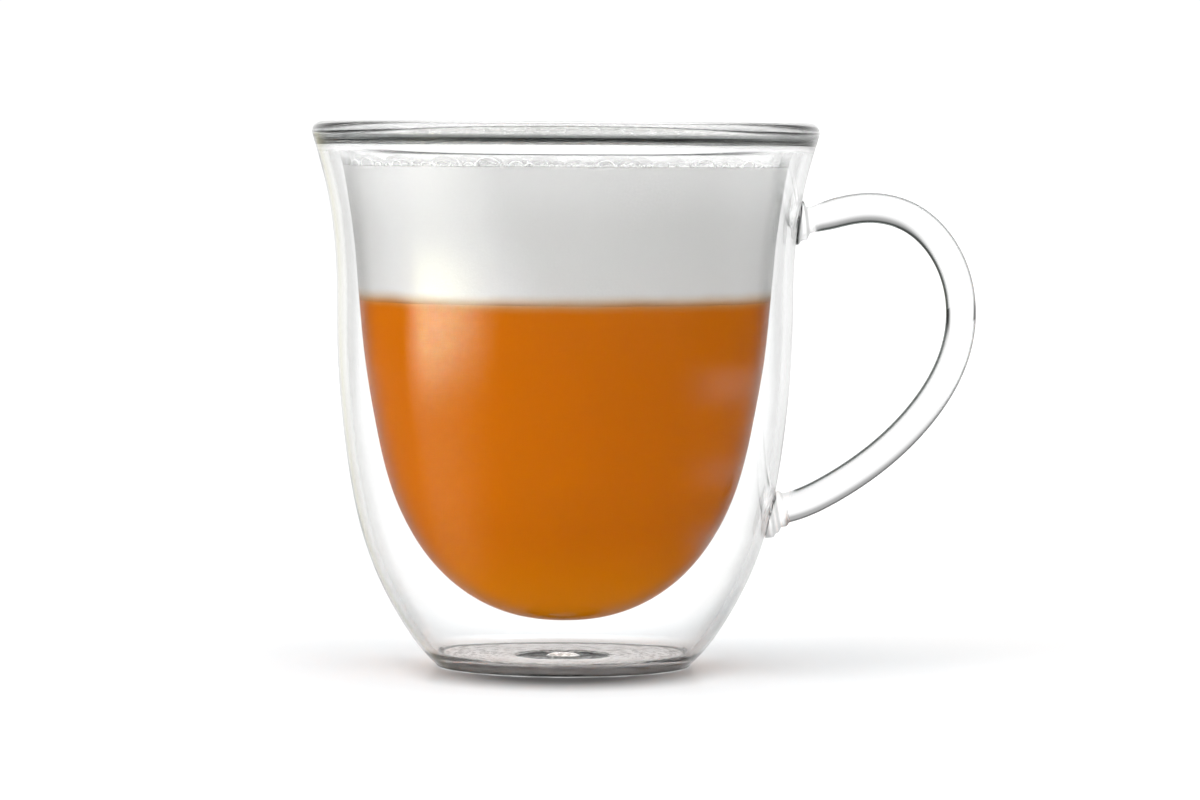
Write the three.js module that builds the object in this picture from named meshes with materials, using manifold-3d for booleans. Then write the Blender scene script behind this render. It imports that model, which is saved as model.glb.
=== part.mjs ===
// A double-walled glass mug of coffee under milk foam.
// Millimetres, +Z up. The origin is the middle of the foot, where it stands, and the handle points along +X.

import * as THREE from "three";
import { mergeVertices } from "three/addons/utils/BufferGeometryUtils.js";
import Module from "manifold-3d";

const wasm = await Module();
wasm.setup();

// Driving sizes of the whole
const HEIGHT = 100;
const SIDES = 48;
const FIT_GAP = 0.3;

// Outer wall: [radius, height] on its outside, from the heel of the foot up to the lip
const OUTSIDE = [
  [23.6, 0.6],
  [25.1, 2.1],
  [28.7, 6.7],
  [32.0, 12.2],
  [35.8, 20.6],
  [38.6, 31],
  [40.7, 45],
  [41.8, 61],
  [42.0, 73],
  [43.1, 84],
  [44.7, 91.5],
  [46.1, 96.4],
];
const OUTER_WALL = 1.8;
const FOOT_RADIUS = 22.6;

// Lip: a solid round bead in which the two walls are fused
const LIP_RADIUS = 44.65;
const LIP_BEAD = 1.88;
const LIP_START = -0.14 * Math.PI;
const LIP_END = 0.83 * Math.PI;
const LIP_STEPS = 6;

// Bowl: [radius, height] on its side towards the air gap, from its lowest point up to the lip
const BOWL = [
  [0, 8.8],
  [8.2, 9.6],
  [15.5, 12.3],
  [22.8, 17.8],
  [27.9, 24.6],
  [31.9, 33.5],
  [34.7, 45],
  [36.7, 57],
  [37.8, 68],
  [38.8, 79],
  [40.4, 89.6],
  [41.6, 94.4],
  [42.5, 95.8],
  [43.5, 96.4],
];
const BOWL_WALL = 1.7;

// Base: a thick floor, a shallow recess below it and a vent into the air gap, closed by a seal
const FLOOR_HEIGHT = 2;
const FLOOR_RADIUS = 16;
const RECESS_RADIUS = 9;
const RECESS_DEPTH = 0.7;
const VENT_RADIUS = 3.2;
const SEAL_SIDES = 24;

// Handle: [x, z] along the middle of its rod, from the upper weld to the lower one
const ROD_RADIUS = 2.75;
const ROD_SIDES = 12;
const ROD_STEPS = 30;
const HANDLE_PATH = [
  [42.2, 82.1],
  [48.2, 83.2],
  [55.2, 84.7],
  [63.0, 83.0],
  [69.4, 77.0],
  [72.8, 66.5],
  [71.3, 57.0],
  [65.8, 47.2],
  [57.4, 38.7],
  [49.1, 33.0],
  [39.0, 28.6],
];

// Weld pads: [distance out from the pad's root, radius], turned about a level axis
const PAD_SIDES = 20;
const UPPER_WELD = { x: 41.6, z: 82.2, outline: [[0, 4.4], [1.0, 4.1], [1.5, 3.3], [2.4, 2.6], [3.4, 2.55]] };
const LOWER_WELD = { x: 35.8, z: 28.9, outline: [[0, 5.4], [1.7, 5.0], [3.0, 3.9], [4.2, 3.1], [5.6, 2.7]] };

// Contents
const COFFEE_LEVEL = 67.5;
const FOAM_LEVEL = 92.6;
const FOAM_CROWN = 0.5;
const BUBBLES = 62;
const BUBBLE_SMALLEST = 0.9;
const BUBBLE_LARGEST = 2.6;
const BUBBLE_SIDES = 7;
const FROTH_TOP = 95.2;
const RANDOM_START = 7;

const GLASS = new THREE.MeshStandardMaterial({
  color: 0xe9efec,
  roughness: 0.03,
  metalness: 0,
  transparent: true,
  opacity: 0.3,
});
const SEAL = new THREE.MeshStandardMaterial({ color: 0xd9dcdb, roughness: 0.35, metalness: 0 });
const COFFEE = new THREE.MeshStandardMaterial({ color: 0xbf6a0a, roughness: 0.3, metalness: 0 });
const FOAM = new THREE.MeshStandardMaterial({ color: 0xeceae6, roughness: 0.8, metalness: 0 });

// Points along a smooth curve through the stations.
function smooth(stations, stepsBetween) {
  const curve = new THREE.SplineCurve(stations.map(([r, z]) => new THREE.Vector2(r, z)));
  return curve.getPoints(stepsBetween * (stations.length - 1)).map(({ x, y }) => [x, y]);
}

// The same line moved towards its left side, which is the inner side of a line that runs upwards.
// A line that starts on the axis keeps its start there.
function moveInwards(line, distance) {
  return line.map(([r, z], i) => {
    const before = line[i - 1] ?? (r === 0 ? [-line[1][0], line[1][1]] : line[i]);
    const after = line[i + 1] ?? line[i];
    const along = Math.hypot(after[0] - before[0], after[1] - before[1]);
    return [
      r - (distance * (after[1] - before[1])) / along,
      z + (distance * (after[0] - before[0])) / along,
    ];
  });
}

function turned(profile, sides) {
  const points = profile.map(([r, z]) => new THREE.Vector2(r, z));
  return new THREE.LatheGeometry(points, sides).rotateX(Math.PI / 2);
}

function toSolid(geometry) {
  const bare = geometry.clone();
  bare.deleteAttribute("normal");
  bare.deleteAttribute("uv");
  const merged = mergeVertices(bare, 1e-3);
  return new wasm.Manifold(
    new wasm.Mesh({
      numProp: 3,
      vertProperties: merged.attributes.position.array,
      triVerts: new Uint32Array(merged.index.array),
    }),
  );
}

function toGeometry(solid) {
  const { vertProperties, triVerts, numProp } = solid.getMesh();
  const position = new Float32Array((vertProperties.length / numProp) * 3);
  for (let i = 0; i < position.length / 3; i++) {
    position.set(vertProperties.subarray(i * numProp, i * numProp + 3), i * 3);
  }
  const geometry = new THREE.BufferGeometry();
  geometry.setAttribute("position", new THREE.BufferAttribute(position, 3));
  geometry.setIndex(new THREE.BufferAttribute(new Uint32Array(triVerts), 1));
  geometry.computeVertexNormals();
  return geometry;
}

// A random draw between 0 and 1 that is the same on every run.
function seeded(start) {
  let state = start;
  return () => {
    state = (state * 16807) % 2147483647;
    return state / 2147483647;
  };
}

const bowlDrinkSide = moveInwards(BOWL, BOWL_WALL);

// Radius of the bowl on its drinking side at a height.
function bowlRadius(height) {
  const upper = bowlDrinkSide.findIndex(([, z]) => z > height);
  const [r0, z0] = bowlDrinkSide[upper - 1];
  const [r1, z1] = bowlDrinkSide[upper];
  return r0 + ((r1 - r0) * (height - z0)) / (z1 - z0);
}

function lipBead() {
  const bead = [];
  for (let i = 0; i <= LIP_STEPS; i++) {
    const turn = LIP_START + ((LIP_END - LIP_START) * i) / LIP_STEPS;
    bead.push([
      LIP_RADIUS + LIP_BEAD * Math.cos(turn),
      HEIGHT + LIP_BEAD * (Math.sin(turn) - 1),
    ]);
  }
  return bead;
}

// Both walls, the lip and the base in one profile, from the bowl's lowest point on the gap side
// round the air gap, through the vent, up the outside and down the drinking side to the axis.
function walls() {
  const gapOutside = moveInwards(OUTSIDE, OUTER_WALL)
    .filter(([, z]) => z > FLOOR_HEIGHT + 0.5 && z < BOWL.at(-1)[1] - 0.4)
    .reverse();
  const drinkSide = bowlDrinkSide.filter(([, z]) => z < lipBead().at(-1)[1] - 1).reverse();
  return turned(
    [
      ...BOWL,
      ...gapOutside,
      [FLOOR_RADIUS, FLOOR_HEIGHT],
      [VENT_RADIUS, FLOOR_HEIGHT],
      [VENT_RADIUS, RECESS_DEPTH],
      [RECESS_RADIUS - RECESS_DEPTH, RECESS_DEPTH],
      [RECESS_RADIUS, 0],
      [FOOT_RADIUS, 0],
      ...smooth(OUTSIDE, 2),
      ...lipBead(),
      ...drinkSide,
    ],
    SIDES,
  );
}

// Everything inside the middle of the outer wall, which the handle's roots don't pass.
function insideOfWall() {
  const middle = moveInwards(OUTSIDE, OUTER_WALL / 2);
  return turned([[0, middle[0][1]], ...middle, [0, middle.at(-1)[1]]], SIDES);
}

function rod() {
  const path = new THREE.CatmullRomCurve3(HANDLE_PATH.map(([x, z]) => new THREE.Vector3(x, 0, z)));
  const section = new THREE.Shape().absarc(0, 0, ROD_RADIUS, 0, 2 * Math.PI);
  return new THREE.ExtrudeGeometry(section, {
    steps: ROD_STEPS,
    extrudePath: path,
    curveSegments: ROD_SIDES,
  });
}

function weldPad({ x, z, outline }) {
  const reach = outline.at(-1)[0];
  const profile = [[0, 0], ...outline.map(([out, radius]) => [radius, out]), [0, reach]];
  return turned(profile, PAD_SIDES).rotateY(Math.PI / 2).translate(x, 0, z);
}

function glassMug() {
  const handle = toSolid(rod())
    .add(toSolid(weldPad(UPPER_WELD)))
    .add(toSolid(weldPad(LOWER_WELD)))
    .subtract(toSolid(insideOfWall()));
  return toGeometry(toSolid(walls()).add(handle));
}

// A disc that closes the vent, level with the foot.
function ventSeal() {
  const radius = VENT_RADIUS - FIT_GAP;
  return turned([[0, 0], [radius, 0], [radius, FLOOR_HEIGHT], [0, FLOOR_HEIGHT]], SEAL_SIDES);
}

// The bowl's filling between two heights, clear of the glass all round.
function filling(low, high) {
  const side = moveInwards(BOWL, BOWL_WALL + FIT_GAP).filter(([, z]) => z > low && z < high);
  const radiusAt = (height) => bowlRadius(height) - FIT_GAP;
  return { side, radiusAt };
}

function coffee() {
  const { side, radiusAt } = filling(0, COFFEE_LEVEL);
  return turned([...side, [radiusAt(COFFEE_LEVEL), COFFEE_LEVEL], [0, COFFEE_LEVEL]], SIDES);
}

// Foam with a froth of bubbles on it, which stand closest along the wall.
function milkFoam() {
  const bottom = COFFEE_LEVEL + FIT_GAP;
  const { side, radiusAt } = filling(bottom, FOAM_LEVEL);
  const rim = radiusAt(FOAM_LEVEL);
  let foam = toSolid(
    turned(
      [
        [0, bottom],
        [radiusAt(bottom), bottom],
        ...side,
        [rim, FOAM_LEVEL],
        [rim / 2, FOAM_LEVEL + FOAM_CROWN / 2],
        [0, FOAM_LEVEL + FOAM_CROWN],
      ],
      SIDES,
    ),
  );
  const draw = seeded(RANDOM_START);
  for (let i = 0; i < BUBBLES; i++) {
    const size = BUBBLE_SMALLEST + (BUBBLE_LARGEST - BUBBLE_SMALLEST) * draw() ** 2;
    const turn = i * Math.PI * (3 - Math.sqrt(5));
    const reach = (rim - size) * draw() ** 0.25;
    const height = Math.min(FOAM_LEVEL + 0.4 * size * draw(), FROTH_TOP - size);
    const bubble = new THREE.SphereGeometry(size, BUBBLE_SIDES, 4)
      .rotateX(Math.PI / 2)
      .translate(reach * Math.cos(turn), reach * Math.sin(turn), height);
    foam = foam.add(toSolid(bubble));
  }
  return toGeometry(foam);
}

const mug = new THREE.Group();
const pieces = [
  ["glass_mug", glassMug(), GLASS],
  ["vent_seal", ventSeal(), SEAL],
  ["coffee", coffee(), COFFEE],
  ["milk_foam", milkFoam(), FOAM],
];
for (const [name, geometry, material] of pieces) {
  const mesh = new THREE.Mesh(geometry, material);
  mesh.name = name;
  mug.add(mesh);
}

export default mug;
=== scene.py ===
# Cup of cappuccino in a double-walled glass mug, standing on a white table.
# Outlines are in millimetres. The origin is the foot's middle, +Z is up and the handle points
# along +X.

import math
import random

import bpy
import numpy as np
from mathutils import Matrix, Vector


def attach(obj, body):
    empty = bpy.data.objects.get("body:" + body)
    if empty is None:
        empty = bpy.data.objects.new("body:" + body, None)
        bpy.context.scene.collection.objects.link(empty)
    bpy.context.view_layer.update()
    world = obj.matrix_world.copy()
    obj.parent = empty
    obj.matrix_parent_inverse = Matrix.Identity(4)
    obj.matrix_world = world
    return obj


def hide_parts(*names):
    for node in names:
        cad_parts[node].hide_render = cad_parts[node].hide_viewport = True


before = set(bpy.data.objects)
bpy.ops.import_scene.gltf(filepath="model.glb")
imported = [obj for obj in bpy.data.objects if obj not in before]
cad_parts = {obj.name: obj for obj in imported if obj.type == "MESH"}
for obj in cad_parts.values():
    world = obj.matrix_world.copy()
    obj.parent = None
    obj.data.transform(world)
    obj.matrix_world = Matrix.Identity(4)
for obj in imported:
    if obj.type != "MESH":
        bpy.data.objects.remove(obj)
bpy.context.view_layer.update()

MM = 0.001
TURN = 2 * math.pi

# Outer wall: radius and height on its outside, from the heel of the foot up to the lip
OUTSIDE = [(23.6, 0.6), (25.1, 2.1), (28.7, 6.7), (32.0, 12.2), (35.8, 20.6), (38.6, 31),
           (40.7, 45), (41.8, 61), (42.0, 73), (43.1, 84), (44.7, 91.5), (46.1, 96.4)]
OUTER_WALL = 1.8
HEIGHT = 100
FOOT_RADIUS = 22.6

# Lip: the round bead in which the two walls are fused, and the turn at which its round starts
LIP_RADIUS = 44.64
LIP_BEAD = 1.88
LIP_START = -0.14 * math.pi
LIP_END = 0.83 * math.pi

# Bowl: radius and height on its side towards the air gap, from its lowest point up to the lip
BOWL = [(0, 8.8), (8.2, 9.6), (15.5, 12.3), (22.8, 17.8), (27.9, 24.6), (31.9, 33.5), (34.7, 45),
        (36.7, 57), (37.8, 68), (38.8, 79), (40.4, 89.6), (41.6, 94.4), (42.5, 95.8), (43.5, 96.4)]
BOWL_WALL = 1.7

# Radius and height where the bowl curves over into the outer wall, and in the heel of the foot
CROTCH = (43.95, 96.3)
HEEL = (23.1, 0.15)

# Base: floor of the air gap with its rounded edge, recess under the foot and vent in its middle
FLOOR_HEIGHT = 2.0
FLOOR_RADIUS = 16
FLOOR_EDGE = (21.0, 2.15)
FLOOR_MIDDLE = 10
RECESS_RADIUS = 9
RECESS_FLAT = 7.5
RECESS_DEPTH = 0.7
VENT_RADIUS = 3.2

# Handle: x and z along the middle of its rod, from the upper weld to the lower one
HANDLE_PATH = [(41.4, 82.2), (44.4, 82.3), (48.8, 83.4), (55.2, 84.6), (63.0, 83.0),
               (69.4, 77.0), (72.7, 66.4), (71.3, 57.0), (65.8, 47.2), (57.4, 38.7),
               (49.1, 33.0), (41.6, 29.6), (36.4, 28.6)]
ROD_RADIUS = 2.75
HANDLE_MIDDLE = (52, 0, 60)
UPPER_WELD = 6
LOWER_WELD = 8

# Contents
COFFEE_LEVEL = 67.5
FOAM_LEVEL = 92.6
FOAM_CROWN = 0.5
INTO_WALL = 0.15

# Froth: bubbles half sunk in the foam's surface, with threads of foam between them
FROTH_START = 7
FROTH_TRIES = 6000
BUBBLE_SMALLEST = 0.5
BUBBLE_LARGEST = 3.2
BUBBLE_SMALL = 1.2
BUBBLE_FLATNESS = 0.62
BUBBLE_SPACING = 0.78
BUBBLE_RAISED = 0.1
STRAND_RADIUS = 0.17

# Fineness of the meshes: sides of each turned piece, the rod, a bubble and a thread
GLASS_SIDES = 232
DRINK_SIDES = 192
ROD_SIDES = 48
SEAL_SIDES = 48
CORE_SIDES = 128
BUBBLE_SIDES = 28
SMALL_BUBBLE_SIDES = 16
STRAND_SIDES = 5


def smooth_line(stations, count):
    """Points spaced evenly along a natural cubic spline through the stations."""
    points = np.array(stations, float)
    knots = np.concatenate([[0], np.cumsum(np.linalg.norm(np.diff(points, axis=0), axis=1))])
    gaps = np.diff(knots)
    n = len(points)
    system = np.eye(n)
    slopes = np.zeros_like(points)
    for i in range(1, n - 1):
        system[i, i - 1:i + 2] = gaps[i - 1], 2 * (gaps[i - 1] + gaps[i]), gaps[i]
        slopes[i] = 6 * ((points[i + 1] - points[i]) / gaps[i]
                         - (points[i] - points[i - 1]) / gaps[i - 1])
    bends = np.linalg.solve(system, slopes)
    at = np.linspace(0, knots[-1], count)
    i = np.clip(np.searchsorted(knots, at, side="right") - 1, 0, n - 2)
    gap = gaps[i][:, None]
    before = (at - knots[i])[:, None]
    after = (knots[i + 1] - at)[:, None]
    return (bends[i] * after ** 3 / (6 * gap) + bends[i + 1] * before ** 3 / (6 * gap)
            + (points[i] / gap - bends[i] * gap / 6) * after
            + (points[i + 1] / gap - bends[i + 1] * gap / 6) * before)


def from_axis(stations, count):
    """As smooth_line, for a line that leaves the axis level, so it is smooth across the axis."""
    mirrored = [(-r, z) for r, z in stations[:0:-1]]
    line = smooth_line(mirrored + list(stations), 2 * count - 1)[count - 1:]
    line[0, 0] = 0
    return line


def moved_inwards(line, distance):
    """The line moved towards its left side, the inner side of a line that runs upwards."""
    along = np.gradient(line, axis=0)
    along /= np.linalg.norm(along, axis=1)[:, None]
    moved = line + np.stack([-along[:, 1], along[:, 0]], axis=1) * distance
    if line[0, 0] == 0:
        moved[0, 0] = 0
    return moved


outside = smooth_line(OUTSIDE, 64)
bowl = from_axis(BOWL, 76)
bowl_inside = moved_inwards(bowl, BOWL_WALL)
FOAM_RADIUS = float(np.interp(FOAM_LEVEL, bowl_inside[:, 1], bowl_inside[:, 0]))


def mesh_piece(name, vertices, faces, finish=None):
    mesh = bpy.data.meshes.new(name)
    mesh.from_pydata([tuple(v) for v in np.asarray(vertices) * MM], [], faces)
    mesh.validate()
    mesh.shade_smooth()
    piece = bpy.data.objects.new(name, mesh)
    bpy.context.scene.collection.objects.link(piece)
    if finish:
        mesh.materials.append(finish)
    return piece


def stands_for(piece, node):
    """Says which solid the piece replaces, by hiding it, and hangs the piece under the root body.
    """
    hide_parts(node)
    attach(piece, "root")


def turned(profile, sides):
    """Vertices and faces of a profile turned about the axis."""
    vertices, faces, rings = [], [], []
    for r, z in profile:
        if r < 1e-6:
            rings.append([len(vertices)])
            vertices.append((0, 0, z))
            continue
        rings.append(list(range(len(vertices), len(vertices) + sides)))
        for k in range(sides):
            angle = TURN * k / sides
            vertices.append((r * math.cos(angle), r * math.sin(angle), z))
    for low, high in zip(rings, rings[1:]):
        for k in range(sides):
            m = (k + 1) % sides
            if len(low) == 1:
                faces.append((low[0], high[m], high[k]))
            elif len(high) == 1:
                faces.append((low[k], low[m], high[0]))
            else:
                faces.append((low[k], low[m], high[m], high[k]))
    return vertices, faces


def tube(path, radii, across, sides):
    """Vertices and faces of a closed rod along a path in the plane at right angles to across."""
    path, across = np.asarray(path, float), np.asarray(across, float)
    direction = np.gradient(path, axis=0)
    direction /= np.linalg.norm(direction, axis=1)[:, None]
    out = np.cross(direction, across)
    angle = TURN * np.arange(sides) / sides
    ring = np.cos(angle)[None, :, None] * out[:, None, :] + np.sin(angle)[None, :, None] * across
    vertices = (path[:, None, :] + np.reshape(radii, (-1, 1, 1)) * ring).reshape(-1, 3)
    faces = []
    for i in range(len(path) - 1):
        for k in range(sides):
            m = (k + 1) % sides
            low, high = i * sides, (i + 1) * sides
            faces.append((low + k, low + m, high + m, high + k))
    faces.append(tuple(range(sides - 1, -1, -1)))
    faces.append(tuple(range(len(vertices) - sides, len(vertices))))
    return vertices, faces


def gathered(parts):
    """The vertices and faces of many parts as those of one."""
    vertices, faces, start = [], [], 0
    for part_vertices, part_faces in parts:
        vertices.extend(part_vertices)
        faces.extend(tuple(start + i for i in face) for face in part_faces)
        start += len(part_vertices)
    return vertices, faces


def combined(piece, other, operation):
    """The piece joined with, or cut by, another piece, which is used up."""
    cut = piece.modifiers.new(operation, "BOOLEAN")
    cut.operation = operation
    cut.solver = "EXACT"
    cut.object = other
    graph = bpy.context.evaluated_depsgraph_get()
    mesh = bpy.data.meshes.new_from_object(piece.evaluated_get(graph))
    piece.modifiers.clear()
    piece.data = mesh
    bpy.data.objects.remove(other)
    return piece


WHITE = (1, 1, 1, 1)
BLACK = (0, 0, 0, 1)


def grey(tone):
    return (tone, tone, tone, 1)


class Value:
    """An output of a shader node. Arithmetic on it adds Math nodes."""

    def __init__(self, finish, socket):
        self.finish = finish
        self.socket = socket

    def __add__(self, other):
        return self.finish.math("ADD", self, other)

    def __sub__(self, other):
        return self.finish.math("SUBTRACT", self, other)

    def __rsub__(self, other):
        return self.finish.math("SUBTRACT", other, self)

    def __mul__(self, other):
        return self.finish.math("MULTIPLY", self, other)

    def __truediv__(self, other):
        return self.finish.math("DIVIDE", self, other)

    __radd__ = __add__
    __rmul__ = __mul__

    def clamped(self, low, high):
        """0 below low, 1 above high and an even ease in between."""
        return self.finish.node("ShaderNodeMapRange", {"interpolation_type": "SMOOTHSTEP"},
                                {"Value": self, "From Min": low, "From Max": high})["Result"]

    def below(self, low, high):
        """1 below low and 0 above high."""
        return 1 - self.clamped(low, high)


class Outputs:
    def __init__(self, finish, node):
        self.finish = finish
        self.node = node

    def __getitem__(self, name):
        return Value(self.finish, self.node.outputs[name])


class Finish:
    """A node tree under construction, of a material or of the world."""

    def __init__(self, tree):
        self.tree = tree
        tree.nodes.clear()

    def node(self, kind, settings=None, values=None):
        node = self.tree.nodes.new(kind)
        for name, setting in (settings or {}).items():
            setattr(node, name, setting)
        for name, value in (values or {}).items():
            if isinstance(value, Value):
                self.tree.links.new(value.socket, node.inputs[name])
            else:
                node.inputs[name].default_value = value
        return Outputs(self, node)

    def math(self, operation, first, second):
        values = {0: first, 1: second}
        return self.node("ShaderNodeMath", {"operation": operation}, values)["Value"]

    def largest(self, *values):
        result = values[0]
        for value in values[1:]:
            result = self.math("MAXIMUM", result, value)
        return result

    def vector(self, operation, values):
        return self.node("ShaderNodeVectorMath", {"operation": operation}, values)

    def blend(self, factor, first, second):
        """The first number where the factor is 0, the second where it is 1."""
        values = {0: factor, 2: first, 3: second}
        return self.node("ShaderNodeMix", {"data_type": "FLOAT"}, values)["Result"]

    def mix(self, factor, first, second):
        """The first colour where the factor is 0, the second where it is 1."""
        values = {"Factor": factor, 6: first, 7: second}
        mixed = self.node("ShaderNodeMix", {"data_type": "RGBA"}, values)
        return Value(self, mixed.node.outputs[2])

    def mix_shaders(self, factor, first, second):
        return self.node("ShaderNodeMixShader", {}, {0: factor, 1: first, 2: second})["Shader"]

    def principled(self, values):
        return self.node("ShaderNodeBsdfPrincipled", {}, values)["BSDF"]

    def place(self):
        """The point's place on the piece, in millimetres."""
        point = self.node("ShaderNodeTexCoord")["Object"]
        return self.vector("SCALE", {0: point, "Scale": 1 / MM})["Vector"]

    def parts(self, vector):
        split = self.node("ShaderNodeSeparateXYZ", {}, {"Vector": vector})
        return split["X"], split["Y"], split["Z"]

    def reach(self, x, y):
        """Distance from the axis."""
        return self.math("SQRT", x * x + y * y, 0)

    def facing(self, blend):
        """0 where the surface is seen face-on, 1 where it is seen edge-on."""
        return self.node("ShaderNodeLayerWeight", {}, {"Blend": blend})["Facing"]

    def noise(self, place, size, detail=2.0, roughness=0.5):
        values = {"Vector": place, "Scale": 1 / size, "Detail": detail, "Roughness": roughness}
        return self.node("ShaderNodeTexNoise", {}, values)["Fac"]

    def cells(self, place, size):
        values = {"Vector": place, "Scale": 1 / size}
        return self.node("ShaderNodeTexVoronoi", {}, values)["Distance"]

    def bump(self, height, distance_mm, strength=1.0):
        values = {"Height": height, "Distance": distance_mm * MM, "Strength": strength}
        return self.node("ShaderNodeBump", {}, values)["Normal"]

    def output(self, shader, **others):
        self.node("ShaderNodeOutputMaterial", {}, {"Surface": shader, **others})


def new_material(name):
    material = bpy.data.materials.new(name)
    material.use_nodes = True
    return material, Finish(material.node_tree)


GLASS_IOR = 1.47
GLASS_DEPTH_COLOUR = (0.6, 0.68, 0.65, 1)
GLASS_DENSITY = 6.0

# The tone of the painted shade on the glass at its edges, lip and base: by gloss and by refraction
# alone
EDGE_SHADE_GLOSS = (0.02, 0.024, 0.022, 1)
EDGE_SHADE_CLEAR = (0.14, 0.155, 0.148, 1)

# Each pair below is where an effect starts and where it is full, in millimetres. The pairs of an
# edge, and those of shine, are shares from 0, seen face-on, to 1, seen edge-on.
# Painted shade on the rod's edges, the walls' edges and outlines, the lip, the recess under the
# foot and the heel
ROD_OFF_WALL = (2.5, 4.5)
ROD_EDGE = (0.35, 0.85)
ROD_INNER_EDGE = (0.2, 0.6)
ROD_INNER_SIDE = (0.3, 0.8)
ROD_TONE = 0.97
WALL_EDGE = (0.3, 0.95)
WALL_TONE = 0.14
WALL_TONE_LOST = 0.07
WALL_TONE_RISE = (25, 60)
OUTLINE_EDGE = (0.6, 0.85)
OUTLINE_TONE = 0.26
WALL_START = (3, 9)
LIP_FROM = (96.3, 96.9)
LIP_TO = (97.6, 98.3)
LIP_TONE = 0.78
HOLLOW_RADIUS = (8.5, 9.5)
HOLLOW_FROM = (0.4, 0.6)
HOLLOW_TO = (2.6, 3)
HOLLOW_SPECKS = (0.42, 0.52)
HEEL_TO = (0.3, 0.9)
HEEL_RADIUS = (21.8, 22.6)
HEEL_TONE = 0.7

# Pads and fillets of the welds, and the fold in which the walls meet, are a little milky and have
# a painted glow that lightens their dark
WELD_SIDE = (20, 30)
WELD_OFF_WALL = (0.1, 0.6)
WELD_TO = (2.5, 3.5)
WELD_MILK_GLOW = 0.45
FOLD_FROM = (94.8, 95.6)
FOLD_TO = (96.4, 96.6)
FOLD_IN_WALL = (1.0, 1.6)
FOLD_IN_WALL_TO = (3.5, 4.0)
FOLD_MILK_GLOW = 0.5

# Waves of blown work in the walls and finer ripples in the base
WAVE_SIZE = 16
WAVES_TO = (93, 96)
RIPPLE_SIZE = 2.5
RIPPLES_TO = (1.0, 4.0)
GROUND_FOOT = 0.3
GROUND_LIP = 0.1
LIP_GROUND_FROM = (95.8, 96.4)
FOOT_FACE = (0.0, 0.3)

# Gloss: full from the outside where the glass is seen edge-on, and from within past the angle of
# total reflection, with a little everywhere and less on the bowl
SHINE_OUTSIDE = (0.55, 0.88)
SHINE_INSIDE = (0.19, 0.27)
SHINE_LEAST = 0.2
ROD_DULL_EDGE = (0.8, 0.95)
ROD_DULLED = 0.8
BOWL_IN_WALL = (2.2, 3.2)
BOWL_TO = (90, 95)
BOWL_DULLED = 0.7


def from_outer_wall(finish, place):
    """Distance from the axis, and how far that is outside the outer wall's outline."""
    x, y, z = finish.parts(place)
    outline = finish.node("ShaderNodeValToRGB", {}, {0: z / HEIGHT})
    for radius, height in OUTSIDE + [(LIP_RADIUS + LIP_BEAD, HEIGHT)]:
        stops = outline.node.color_ramp.elements
        stop = stops[-1] if height == HEIGHT else stops.new(height / HEIGHT)
        stop.color = grey(radius / HEIGHT)
    wall = finish.node("ShaderNodeSeparateColor", {}, {"Color": outline["Color"]})["Red"]
    radius = finish.reach(x, y)
    return radius, radius - wall * HEIGHT


def painted_glass_shade(finish, place, radius, off_wall, facing):
    """The painted shade on the glass: most at the edges of the rod, in the lip and in the base."""
    x, y, z = finish.parts(place)
    out = finish.vector("SUBTRACT", {0: place, 1: HANDLE_MIDDLE})["Vector"]
    out = finish.vector("NORMALIZE", {0: out})["Vector"]
    normal = finish.node("ShaderNodeNewGeometry")["Normal"]
    outer_side = finish.vector("DOT_PRODUCT", {0: normal, 1: out})["Value"]
    inner_side = (0 - outer_side).clamped(*ROD_INNER_SIDE)
    inner_edge = facing.clamped(*ROD_INNER_EDGE) * inner_side * ROD_TONE
    rod = (facing.clamped(*ROD_EDGE) * ROD_TONE + inner_edge) * off_wall.clamped(*ROD_OFF_WALL)
    wall_tone = WALL_TONE - z.clamped(*WALL_TONE_RISE) * WALL_TONE_LOST
    walls = facing.clamped(*WALL_EDGE) * wall_tone + facing.clamped(*OUTLINE_EDGE) * OUTLINE_TONE
    # Painted shade in the lip, in the recess under the foot with specks, and along the heel
    lip = z.clamped(*LIP_FROM) * z.below(*LIP_TO) * LIP_TONE
    specks = finish.noise(place, 1.2).clamped(*HOLLOW_SPECKS) * 0.45 + 0.3
    hollow = radius.below(*HOLLOW_RADIUS) * z.clamped(*HOLLOW_FROM) * z.below(*HOLLOW_TO) * specks
    heel = z.below(*HEEL_TO) * radius.clamped(*HEEL_RADIUS) * HEEL_TONE
    return finish.largest(rod, walls * z.clamped(*WALL_START), lip, hollow + heel)


def glass_shine(finish, z, off_wall, facing):
    """How much of the surface is glossy rather than only clear."""
    rod = off_wall.clamped(*ROD_OFF_WALL)
    bowl = (0 - off_wall).clamped(*BOWL_IN_WALL) * z.below(*BOWL_TO)
    outside_shine = (facing.clamped(*SHINE_OUTSIDE)
                     * (1 - facing.clamped(*ROD_DULL_EDGE) * rod * ROD_DULLED))
    within = finish.node("ShaderNodeNewGeometry")["Backfacing"]
    shine = finish.blend(within, outside_shine, facing.clamped(*SHINE_INSIDE))
    return (shine * (1 - SHINE_LEAST) + SHINE_LEAST) * (1 - bowl * BOWL_DULLED)


def milky_glow_share(finish, x, z, off_wall):
    in_wall = 0 - off_wall
    weld = x.clamped(*WELD_SIDE) * off_wall.clamped(*WELD_OFF_WALL) * off_wall.below(*WELD_TO)
    fold = (z.clamped(*FOLD_FROM) * z.below(*FOLD_TO)
            * in_wall.clamped(*FOLD_IN_WALL) * in_wall.below(*FOLD_IN_WALL_TO))
    return finish.largest(weld * WELD_MILK_GLOW, fold * FOLD_MILK_GLOW)


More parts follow.
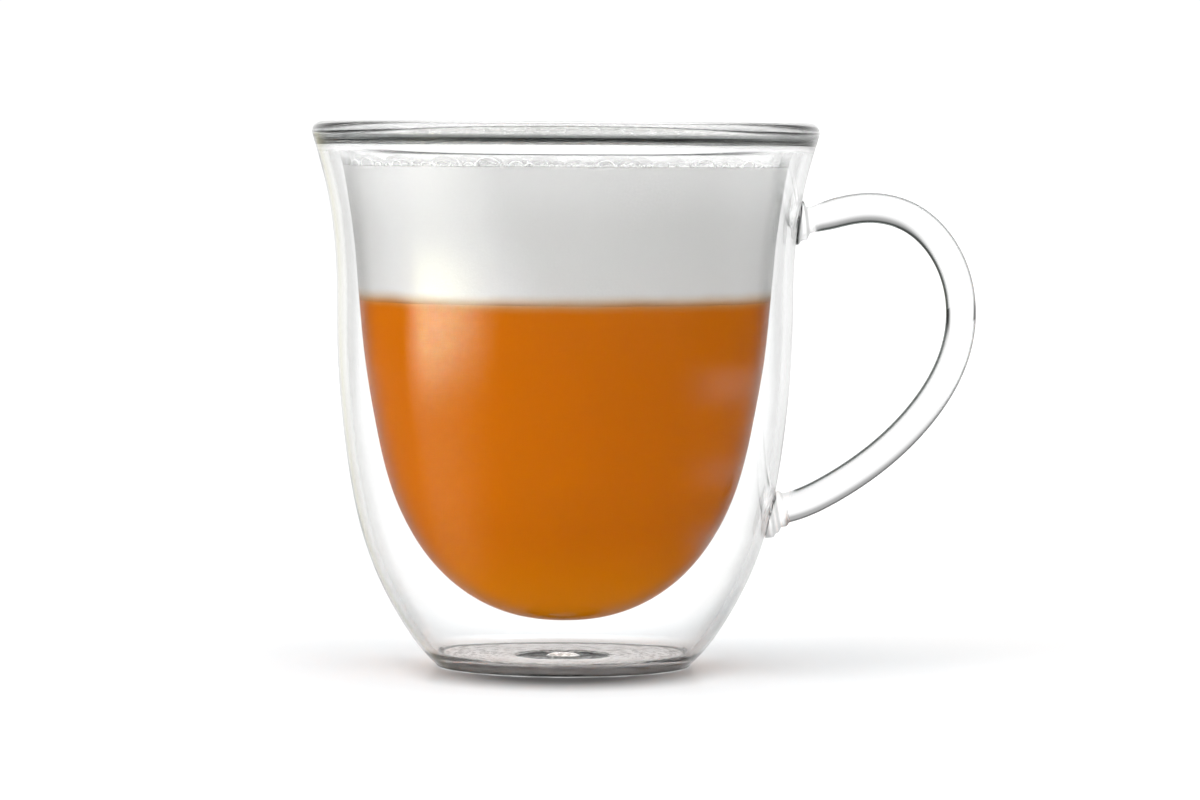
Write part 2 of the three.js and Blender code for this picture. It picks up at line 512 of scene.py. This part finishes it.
def glowing_ground_foot(finish, x, y, radius):
    """The foot's underside, with fine rings from grinding, which glows with painted light."""
    turn = finish.math("ARCTAN2", y, x) * 5
    rings = finish.node("ShaderNodeCombineXYZ", {}, {"X": radius, "Y": turn})["Vector"]
    ring_glow = finish.noise(rings, 0.9, 3.0, 0.6).clamped(0.4, 0.62)
    return finish.principled({
        "Base Color": grey(0.6), "Roughness": 0.5, "Emission Strength": 1.0,
        "Emission Color": finish.mix(ring_glow, grey(0.68), grey(0.18))})


def clear_glass():
    """Fire-polished glass with the faint waves of blown work, with painted shade at its edges, lip
    and base and a painted glow on its welds, its fold and its ground foot.
    """
    material, finish = new_material("clear_glass")
    place = finish.place()
    x, y, z = finish.parts(place)
    radius, off_wall = from_outer_wall(finish, place)
    facing = finish.facing(0.5)
    tone = painted_glass_shade(finish, place, radius, off_wall, facing)
    waves = finish.noise(place, WAVE_SIZE, 1.0) * z.below(*WAVES_TO)
    ripples = finish.noise(place, RIPPLE_SIZE) * z.below(*RIPPLES_TO) * 3
    waved = finish.bump(waves + ripples, 0.1, 0.3)
    ground = z.below(*FOOT_FACE) * GROUND_FOOT + z.clamped(*LIP_GROUND_FROM) * GROUND_LIP
    # The gloss and the refraction are darkened by the painted shade
    gloss = finish.principled({
        "Base Color": finish.mix(tone, WHITE, EDGE_SHADE_GLOSS), "Roughness": ground,
        "IOR": GLASS_IOR, "Transmission Weight": 1.0, "Specular Tint": grey(0.5), "Normal": waved})
    # Refraction alone: clear, or darkened by the painted shade
    unshaded_refraction, shaded_refraction = (finish.node("ShaderNodeBsdfRefraction", {}, {
        "Color": colour, "Roughness": ground, "IOR": GLASS_IOR, "Normal": waved})["BSDF"]
        for colour in (WHITE, EDGE_SHADE_CLEAR))
    clear = finish.mix_shaders(tone, unshaded_refraction, shaded_refraction)
    polished = finish.mix_shaders(glass_shine(finish, z, off_wall, facing), clear, gloss)
    # A little milky, and glowing with painted light
    milky_glow = finish.principled({"Base Color": grey(0.8), "Roughness": 0.3,
                               "Emission Color": grey(0.4), "Emission Strength": 1.0})
    polished = finish.mix_shaders(milky_glow_share(finish, x, z, off_wall), polished, milky_glow)
    foot = glowing_ground_foot(finish, x, y, radius)
    shader = finish.mix_shaders(z.below(*FOOT_FACE) * 0.8, polished, foot)
    depth = finish.node("ShaderNodeVolumeAbsorption", {}, {
        "Color": GLASS_DEPTH_COLOUR, "Density": GLASS_DENSITY})["Volume"]
    finish.output(shader, Volume=depth)
    return material


COFFEE_COLOUR = (0.645, 0.158, 0.0003, 1)
MILKY_COLOUR = (0.62, 0.36, 0.12, 1)
FOAM_COLOUR = (0.85, 0.843, 0.825, 1)
# Painted shade on the foam's upper face, and the colours of the painted glow in the foam and the
# coffee
FOAM_TOP_SHADE_COLOUR = (0.5, 0.495, 0.48, 1)
FOAM_GLOW_COLOUR = (0.96, 0.98, 1, 1)
COFFEE_GLOW_COLOUR = (0.22, 0.085, 0.0, 1)

# The soft border between coffee and foam, below and above the coffee's level
MILKY_BORDER = (COFFEE_LEVEL - 1.2, COFFEE_LEVEL + 1.6)
FOAMY_BORDER = (COFFEE_LEVEL - 0.2, COFFEE_LEVEL + 2.8)

# Painted glow in place of light that scatters within the drink: low in the bowl, in the loose foam
# near the top, on the side of the light and on the side of the handle
LOW_IN_BOWL = (9, 28)
LOOSE_FOAM = (80, 91)
LOOSE_GLOW = 0.07
LIGHT_SIDE = (-37, -28)
LIGHT_SIDE_END = (-15, 2)
LIGHT_GLOW = 0.14
HANDLE_SIDE = (24, 38)
HANDLE_GLOW = 0.09
FOAM_FACE = (FOAM_LEVEL - 0.15, FOAM_LEVEL - 0.05)


def drink_colour(finish):
    """Coffee below its level and foam above it, with a soft, slightly wandering border."""
    place = finish.place()
    x, y, z = finish.parts(place)
    height = z + (finish.noise(place, 14) * 1.2 - (y + FOAM_RADIUS) * 0.02)
    foamy = height.clamped(*FOAMY_BORDER)
    coffee_side = finish.mix(height.clamped(*MILKY_BORDER), COFFEE_COLOUR, MILKY_COLOUR)
    return finish.mix(foamy, coffee_side, FOAM_COLOUR), place, foamy


def coffee_finish():
    material, finish = new_material("milky_coffee")
    colour, place, _ = drink_colour(finish)
    # Painted glow low in the bowl, where the coffee faces the shaded table
    low = finish.parts(place)[2].below(*LOW_IN_BOWL)
    finish.output(finish.principled({
        "Base Color": colour, "Roughness": 0.3, "IOR": 1.34, "Specular IOR Level": 0.0,
        "Emission Color": finish.mix(low, BLACK, COFFEE_GLOW_COLOUR), "Emission Strength": 1.0}))
    return material


def foam_finish():
    """Dense foam of fine cells, with painted glow near its top and on the sides of the light and
    the handle, and painted shade over its upper face, darkest in pits between its bubbles.
    """
    material, finish = new_material("milk_foam")
    colour, place, foamy = drink_colour(finish)
    x, y, z = finish.parts(place)
    # Painted glow in the loose foam near the top, on the side of the light and on the side of the
    # handle
    loose = z.clamped(*LOOSE_FOAM) * LOOSE_GLOW
    slanted = x + (z - COFFEE_LEVEL) * 0.5
    from_light = x.clamped(*LIGHT_SIDE) * slanted.below(*LIGHT_SIDE_END) * LIGHT_GLOW
    from_handle = x.clamped(*HANDLE_SIDE) * HANDLE_GLOW
    # Painted shade over the foam's upper face, darkest in the pits between its bubbles
    top = z.clamped(*FOAM_FACE)
    pit_shade = finish.cells(place, 1.1).clamped(0.15, 0.5)
    colour = finish.mix(top * (0.45 + (1 - pit_shade) * 0.55), colour, FOAM_TOP_SHADE_COLOUR)
    glow = (loose + from_light + from_handle) * foamy * (1 - top)
    finish.output(finish.principled({
        "Base Color": colour, "Roughness": 0.65, "Specular IOR Level": 0.2,
        "Emission Color": finish.mix(glow, BLACK, FOAM_GLOW_COLOUR), "Emission Strength": 1.0,
        "Normal": finish.bump(finish.cells(place, 0.5), 0.05, 0.3)}))
    return material


def thread_finish():
    material, finish = new_material("foam_threads")
    fine = finish.noise(finish.place(), 0.3)
    # The threads are whitened by a faint painted glow
    finish.output(finish.principled({
        "Base Color": (0.95, 0.95, 0.94, 1), "Roughness": 0.4, "Emission Color": WHITE,
        "Emission Strength": 0.2, "Normal": finish.bump(fine, 0.02, 0.3)}))
    return material


def film_finish():
    """The thin wet film of a bubble, which looks denser where it is seen edge-on."""
    material, finish = new_material("bubble_film")
    film = finish.principled({"Base Color": grey(0.9), "Roughness": 0.2})
    clear = finish.node("ShaderNodeBsdfTransparent", {}, {"Color": grey(0.97)})["BSDF"]
    finish.output(finish.mix_shaders(finish.facing(0.35), clear, film))
    return material


def seal_finish():
    """A clear seal with a faint painted glow, brighter in specks as painted glints."""
    material, finish = new_material("vent_seal")
    speck = finish.noise(finish.place(), 0.8)
    # Painted glow, brighter in the specks
    glow = finish.mix(speck.clamped(0.45, 0.6), grey(0.12), grey(0.5))
    finish.output(finish.principled({
        "Base Color": (0.8, 0.82, 0.81, 1), "Roughness": 0.12, "IOR": 1.45,
        "Transmission Weight": 0.5, "Normal": finish.bump(speck, 0.2, 0.6),
        "Emission Strength": 1.0, "Emission Color": glow}))
    return material


def lip_bead(count):
    turn = np.linspace(LIP_START, LIP_END, count)
    height = HEIGHT - LIP_BEAD + LIP_BEAD * np.sin(turn)
    return np.stack([LIP_RADIUS + LIP_BEAD * np.cos(turn), height], axis=1)


def wall_profile():
    """Both walls, the lip and the base in one line.

    It runs from the bowl's lowest point round the air gap, under the foot, up the outside, over
    the lip and down the inside of the bowl to the axis.
    """
    gap_wall = moved_inwards(outside, OUTER_WALL)
    heights = gap_wall[:, 1]
    in_gap = (heights > FLOOR_HEIGHT + 0.6) & (heights < BOWL[-1][1] - 0.5)
    gap_wall = gap_wall[in_gap][::-1]
    drink_side = bowl_inside[bowl_inside[:, 1] < lip_bead(2)[-1, 1] - 1.2][::-1]
    crotch = smooth_line([bowl[-1], CROTCH, gap_wall[0]], 8)[1:-1]
    floor_line = [gap_wall[-1], FLOOR_EDGE, (FLOOR_RADIUS, FLOOR_HEIGHT),
                  (FLOOR_MIDDLE, FLOOR_HEIGHT)]
    floor = smooth_line(floor_line, 30)[1:]
    recess = [(VENT_RADIUS, FLOOR_HEIGHT), (VENT_RADIUS, RECESS_DEPTH),
              (RECESS_FLAT, RECESS_DEPTH), (RECESS_RADIUS, 0)]
    heel = smooth_line([(FOOT_RADIUS, 0), HEEL, OUTSIDE[0]], 6)[:-1]
    lip = lip_bead(30)
    into_lip = smooth_line([lip[-2], lip[-1], drink_side[0], drink_side[1]], 16)[6:-6]
    return np.concatenate([bowl, crotch, gap_wall, floor, recess, heel,
                           outside, lip, into_lip, drink_side])


def middle_of_wall():
    middle = moved_inwards(outside, OUTER_WALL / 2)
    return np.concatenate([[(0, middle[0, 1])], middle, [(0, middle[-1, 1])]])


def eased(value, low, high):
    share = min(max((value - low) / (high - low), 0), 1)
    return share * share * (3 - 2 * share)


def swelling(height, distance, width):
    """A smooth bulge that fades with distance."""
    return height * math.exp(-((distance / width) ** 2))


def rod_radius(from_top, from_foot):
    """The rod's radius.

    At each weld it has a fillet on the wall and round pads that end in fine steps.
    """
    upper_fillet = swelling(0.7, max(from_top - 1.3, 0), 0.35)
    upper_pad = 1.1 * (1 - eased(from_top, 2.5, 3.3))
    waist = swelling(0.35, from_top - 3.9, 2.6)
    lower_fillet = swelling(0.7, max(from_foot - 1.4, 0), 0.4)
    lower_pad = 0.85 * (1 - eased(from_foot, 2.3, 3.1)) + 0.6 * (1 - eased(from_foot, 3.8, 4.6))
    return ROD_RADIUS + upper_fillet + upper_pad - waist + lower_fillet + lower_pad


def handle():
    fine = smooth_line(HANDLE_PATH, 2400)
    step = np.linalg.norm(np.diff(fine, axis=0), axis=1)
    fine_along = np.concatenate([[0], np.cumsum(step)])
    length = fine_along[-1]
    along = np.concatenate([np.linspace(0, UPPER_WELD, 50),
                            np.linspace(UPPER_WELD, length - LOWER_WELD, 150)[1:-1],
                            np.linspace(length - LOWER_WELD, length, 66)])
    x, z = (np.interp(along, fine_along, fine[:, axis]) for axis in (0, 1))
    path = np.stack([x, np.zeros_like(x), z], axis=1)
    radii = [rod_radius(at, length - at) for at in along]
    return mesh_piece("handle", *tube(path, radii, (0, 1, 0), ROD_SIDES))


def glass_mug(finish):
    core = mesh_piece("core", *turned(middle_of_wall(), CORE_SIDES))
    rod = combined(handle(), core, "DIFFERENCE")
    mug = mesh_piece("clear_mug", *turned(wall_profile(), GLASS_SIDES), finish)
    combined(mug, rod, "UNION")
    mug.data.shade_smooth()
    mug.data.materials.clear()
    mug.data.materials.append(finish)
    stands_for(mug, "glass_mug")


def filling_side(low, high):
    """The drink's side just inside the bowl's wall, and its radius at both heights."""
    side = moved_inwards(bowl, BOWL_WALL - INTO_WALL)
    inner = side[(side[:, 1] > low) & (side[:, 1] < high)]
    radius = np.interp([low, high], side[:, 1], side[:, 0])
    return inner, radius


def coffee(finish):
    side, (_, top) = filling_side(0, COFFEE_LEVEL)
    lid = [(top, COFFEE_LEVEL), (top * 0.5, COFFEE_LEVEL), (0, COFFEE_LEVEL)]
    profile = np.concatenate([side, lid])
    piece = mesh_piece("milky_coffee", *turned(profile, DRINK_SIDES), finish)
    stands_for(piece, "coffee")


def foam(finish):
    side, (low, high) = filling_side(COFFEE_LEVEL, FOAM_LEVEL)
    across = np.linspace(high, 0, 60)[1:]
    top = [(r, FOAM_LEVEL + FOAM_CROWN * (1 - r / high)) for r in across]
    under = [(0, COFFEE_LEVEL), (low * 0.5, COFFEE_LEVEL), (low, COFFEE_LEVEL)]
    profile = np.concatenate([under, side, [(high, FOAM_LEVEL)], top])
    piece = mesh_piece("milk_foam_body", *turned(profile, DRINK_SIDES), finish)
    stands_for(piece, "milk_foam")


def foam_top(reach):
    """Height of the foam's surface at a distance from the axis."""
    return FOAM_LEVEL + FOAM_CROWN * (1 - reach / FOAM_RADIUS)


def froth_bubbles():
    """Centre and radius of each bubble.

    The first third of the tries lie along the wall, some of them pressed against it, and the
    others lie over the whole face.
    """
    draw = random.Random(FROTH_START)
    bubbles = []
    for attempt in range(FROTH_TRIES):
        size = BUBBLE_SMALLEST + (BUBBLE_LARGEST - BUBBLE_SMALLEST) * draw.random() ** 2
        if attempt < FROTH_TRIES / 3:
            reach = FOAM_RADIUS - size * draw.uniform(0.2, 0.9)
        else:
            reach = (FOAM_RADIUS - 2 * size) * draw.random() ** 0.35
        turn = TURN * draw.random()
        x, y = reach * math.cos(turn), reach * math.sin(turn)
        if all(math.dist((x, y), (at[0], at[1])) > BUBBLE_SPACING * (size + other)
               for at, other in bubbles):
            bubbles.append((np.array([x, y, foam_top(reach) + BUBBLE_RAISED * size]), size))
    return bubbles


def inside_of_bowl(height, clearance):
    """The bowl's inner radius at a height, less a clearance."""
    return np.interp(height, bowl_inside[:, 1], bowl_inside[:, 0]) - clearance


def dome(centre, size):
    """The upper part of a bubble, flattened where it meets the wall and towards its top."""
    sides = SMALL_BUBBLE_SIDES if size < BUBBLE_SMALL else BUBBLE_SIDES
    profile = [(size * math.sin(a), BUBBLE_FLATNESS * size * math.cos(a))
               for a in np.linspace(1.75, 0, 7)]
    vertices, faces = turned(profile, sides)
    vertices = np.array(vertices) + centre
    reach = np.hypot(vertices[:, 0], vertices[:, 1])
    wall = inside_of_bowl(vertices[:, 2], 0.04)
    vertices[:, :2] *= np.minimum(1, wall / reach)[:, None]
    return vertices, faces


def strand(points, across):
    """A thread of foam along an arch, thinnest at its top, or nothing where it is sunk."""
    surface = foam_top(np.hypot(points[:, 0], points[:, 1]))
    points = points[points[:, 2] > surface - 0.3]
    if len(points) < 4:
        return []
    share = np.linspace(-1, 1, len(points))
    return [tube(points, STRAND_RADIUS * (0.55 + 0.9 * share ** 2), across, STRAND_SIDES)]


ARCH = np.linspace(-0.35, math.pi + 0.35, 13)
RING = np.linspace(0, TURN, 16)


def strand_between(centre, size, other, other_size):
    """The thread where two bubbles meet, if they do."""
    gap = other - centre
    gap[2] = 0
    distance = np.linalg.norm(gap)
    if distance >= size + other_size - 0.1:
        return []
    gap /= distance
    reach = (distance ** 2 + size ** 2 - other_size ** 2) / (2 * distance)
    radius = math.sqrt(max(size ** 2 - reach ** 2, 0.01))
    side = np.array([-gap[1], gap[0], 0])
    points = (centre + gap * reach + radius * np.cos(ARCH)[:, None] * side
              + BUBBLE_FLATNESS * radius * np.sin(ARCH)[:, None] * np.array([0, 0, 1]))
    return strand(points, gap)


def strand_on_wall(centre, size):
    """The thread where a bubble meets the bowl, if it does."""
    depth = FOAM_RADIUS + 0.3 - math.hypot(centre[0], centre[1])
    if depth >= size:
        return []
    radius = math.sqrt(size ** 2 - depth ** 2)
    heading = math.atan2(centre[1], centre[0])
    height = centre[2] + BUBBLE_FLATNESS * radius * np.sin(ARCH)
    wall = inside_of_bowl(height, 0.12)
    angle = heading + radius * np.cos(ARCH) / wall
    points = np.stack([wall * np.cos(angle), wall * np.sin(angle), height], axis=1)
    return strand(points, np.array([math.cos(heading), math.sin(heading), 0]))


def strand_round_foot(centre, size):
    """The ring of foam round a bubble's foot, where all of it lies inside the bowl."""
    x, y = centre[0] + size * np.cos(RING), centre[1] + size * np.sin(RING)
    foot = np.stack([x, y, np.full(len(RING), centre[2] - BUBBLE_RAISED * size)], axis=1)
    if not (np.hypot(x, y) < FOAM_RADIUS).all():
        return []
    return [tube(foot, STRAND_RADIUS * 0.9, (0, 0, 1), STRAND_SIDES)]


def froth_strands(bubbles):
    parts = []
    for i, (centre, size) in enumerate(bubbles):
        for other, other_size in bubbles[:i]:
            parts += strand_between(centre, size, other, other_size)
        parts += strand_on_wall(centre, size)
        parts += strand_round_foot(centre, size)
    return parts


def froth(film, threads):
    bubbles = froth_bubbles()
    domes = gathered([dome(*bubble) for bubble in bubbles])
    strands = gathered(froth_strands(bubbles))
    stands_for(mesh_piece("froth_bubbles", *domes, film), "milk_foam")
    stands_for(mesh_piece("froth_strands", *strands, threads), "milk_foam")


def vent_seal(finish):
    radius = VENT_RADIUS + 0.05
    profile = [(0, 0), (radius * 0.6, 0), (radius, 0.1), (radius, FLOOR_HEIGHT - 0.2),
               (radius * 0.7, FLOOR_HEIGHT + 0.3), (0, FLOOR_HEIGHT + 0.5)]
    piece = mesh_piece("base_seal", *turned(profile, SEAL_SIDES), finish)
    stands_for(piece, "vent_seal")


# The table's painted light and shade, each over a range of distance in millimetres
TABLE_REACH = 20000
TABLE_CLEARANCE = 0.02
NEAR_MUG = (30, 110)
FAR_OFF = (250, 800)
UNDER_FOOT = (12, FOOT_RADIUS + 1)
CAUGHT_LIGHT_PLACE = (0, 20, 0)
CAUGHT_LIGHT = (14, 32)
CAUGHT_LIGHT_STRENGTH = 0.33
CONTACT_MIDDLE = -14
CONTACT_SHADE = (13, 38)
BEHIND_MUG = (0.66, 0.88)
BEFORE_MUG = (0.1, 0.6)
POLISH = 0.13
POLISHED_WITHIN = (30, 75)


def table():
    """A large white table, faintly polished near the mug, with painted light and shade: a contact
    shadow in front of the foot, glow under and behind the foot, a cool tint near the mug, and far
    off a glow behind and before the mug and dark at its sides.
    """
    material, finish = new_material("white_table")
    place = finish.place()
    x, y, z = finish.parts(place)
    distance = finish.vector("LENGTH", {0: place})["Value"]
    far = distance.clamped(*FAR_OFF)
    towards_back = y / distance
    behind = towards_back.clamped(*BEHIND_MUG)
    before = (0 - towards_back).clamped(*BEFORE_MUG)
    # Painted light under the foot, in place of light that passes through the glass base
    under = distance.below(*UNDER_FOOT) * 0.9
    # Painted light just behind the mug, in place of light that the glass gathers onto the table
    from_caught = finish.vector("DISTANCE", {0: place, 1: CAUGHT_LIGHT_PLACE})["Value"]
    caught = from_caught.below(*CAUGHT_LIGHT) * CAUGHT_LIGHT_STRENGTH
    # Far off, the table glows with painted light behind and before the mug
    lit = finish.largest(far * finish.largest(behind, before), under, caught)
    # A faint painted glow near the mug
    lit = lit + distance.below(*NEAR_MUG) * 0.06
    # A cool tint near the mug cancels the warm light that the coffee bounces onto the table
    near = finish.mix(distance.clamped(*NEAR_MUG), (0.86, 0.9, 0.92, 1), grey(0.9))
    # Far off, the table is painted dark, which shows at its sides
    tone = finish.mix(far, near, grey(0.2))
    # Painted contact shadow, darkest just in front of the foot
    forward = y - CONTACT_MIDDLE
    from_contact = finish.math("SQRT", x * x * 1.5 + forward * forward, 0)
    contact = from_contact.below(*CONTACT_SHADE)
    matt = finish.principled({
        "Base Color": finish.mix(contact, tone, grey(0.05)), "Roughness": 0.6,
        "Specular IOR Level": 0.0, "Emission Color": finish.mix(lit, BLACK, WHITE),
        "Emission Strength": 1.0})
    polish = finish.node("ShaderNodeBsdfGlossy", {}, {"Color": WHITE, "Roughness": 0.08})["BSDF"]
    polished = distance.below(*POLISHED_WITHIN) * POLISH
    finish.output(finish.mix_shaders(polished, matt, polish))
    corners = [(-TABLE_REACH, -TABLE_REACH, 0), (TABLE_REACH, -TABLE_REACH, 0),
               (TABLE_REACH, TABLE_REACH, 0), (-TABLE_REACH, TABLE_REACH, 0)]
    piece = mesh_piece("table", corners, [(0, 1, 2, 3)], material)
    piece.location.z = -TABLE_CLEARANCE * MM
    piece.visible_glossy = False


# Studio: strengths of its surroundings. Ranges are of a direction's parts, each from -1 to 1.
WHITE_WALL = 0.6
FRONT_LIGHT = 11.0
LEFT_LIGHT = 15.0
LEFT_REFLECTION = 78.0
CEILING = 0.45
GROUND = 0.14
WHITE_GROUND = 0.42
WARM_REFLECTION = (1, 0.96, 0.66, 1)


def studio():
    """Surroundings of the mug.

    Above the horizon there is a white wall behind, soft light from the front at both sides and
    from the left, and a dark ceiling. Below it, where only gloss sees it, there is dark ground
    with the reflection of the left light and of the wall.
    """
    world = bpy.data.worlds.new("studio")
    world.use_nodes = True
    bpy.context.scene.world = world
    finish = Finish(world.node_tree)
    x, y, z = finish.parts(finish.node("ShaderNodeTexCoord")["Generated"])
    to_left, to_front = 0 - x, 0 - y
    above = z.clamped(-0.06, 0.0)
    wall = z.below(0.2, 0.5) * y.clamped(0.35, 0.8) * WHITE_WALL
    front = (to_front.clamped(0.1, 0.6) * (x * x).clamped(0.06, 0.25)
             * z.below(0.2, 0.4) * FRONT_LIGHT)
    left = (to_left.clamped(0.62, 0.85) * (0.1 - y).clamped(0.0, 0.3)
            * z.below(0.2, 0.35) * LEFT_LIGHT)
    streak = (to_left.clamped(0.5, 1.0) * to_front.clamped(0.0, 0.35)
              * (z.clamped(-0.23, -0.04) * 0.87 + 0.13) * LEFT_REFLECTION)
    ground = z.clamped(-0.3, 0.0) * (CEILING - GROUND) + GROUND
    ground_behind = y.clamped(0.75, 0.97) * WHITE_GROUND
    warm = (1 - above) * to_left.clamped(0.2, 0.4)
    strength = finish.blend(above, ground + streak + ground_behind, wall + front + left + CEILING)
    shader = finish.node("ShaderNodeBackground", {}, {
        "Color": finish.mix(warm, WHITE, WARM_REFLECTION), "Strength": strength})
    finish.node("ShaderNodeOutputWorld", {}, {"Surface": shader["Background"]})


# Soft light from above: its place and size in metres, and its power in watts
LAMP_PLACE = Vector((0, 0.1, 1.1))
LAMP_TARGET = Vector((0, 0, 0.05))
LAMP_SIZE = 1.0
LAMP_POWER = 7


def overhead_lamp():
    light = bpy.data.lights.new("overhead", "AREA")
    light.shape = "SQUARE"
    light.size = LAMP_SIZE
    light.energy = LAMP_POWER
    lamp = bpy.data.objects.new("overhead", light)
    lamp.location = LAMP_PLACE
    lamp.rotation_euler = (LAMP_TARGET - LAMP_PLACE).to_track_quat("-Z", "Y").to_euler()
    bpy.context.scene.collection.objects.link(lamp)


# Camera: sideways place, place in front of the axis and height in metres, pitch and roll in
# degrees, and lens in millimetres
CAMERA_PLACE = (0.00654, -1.1, 0.1041)
CAMERA_PITCH = 2.865
CAMERA_ROLL = 0.33
CAMERA_LENS = 179.8


def camera():
    view = bpy.data.cameras.new("camera")
    view.lens = CAMERA_LENS
    view.sensor_width = 36
    view.clip_end = 100
    holder = bpy.data.objects.new("camera", view)
    bpy.context.scene.collection.objects.link(holder)
    bpy.context.scene.camera = holder
    holder.matrix_world = (Matrix.Translation(CAMERA_PLACE)
                           @ Matrix.Rotation(math.radians(90 - CAMERA_PITCH), 4, "X")
                           @ Matrix.Rotation(math.radians(CAMERA_ROLL), 4, "Z"))


def picture_settings():
    """Plain tones, and enough bounces for light to cross both walls on its way in and out."""
    scene = bpy.context.scene
    scene.view_settings.view_transform = "Standard"
    scene.cycles.max_bounces = 14
    scene.cycles.transmission_bounces = 14
    scene.cycles.glossy_bounces = 6
    scene.cycles.diffuse_bounces = 2
    scene.cycles.transparent_max_bounces = 24


picture_settings()
camera()
studio()
overhead_lamp()
table()
glass_mug(clear_glass())
coffee(coffee_finish())
foam(foam_finish())
froth(film_finish(), thread_finish())
vent_seal(seal_finish())
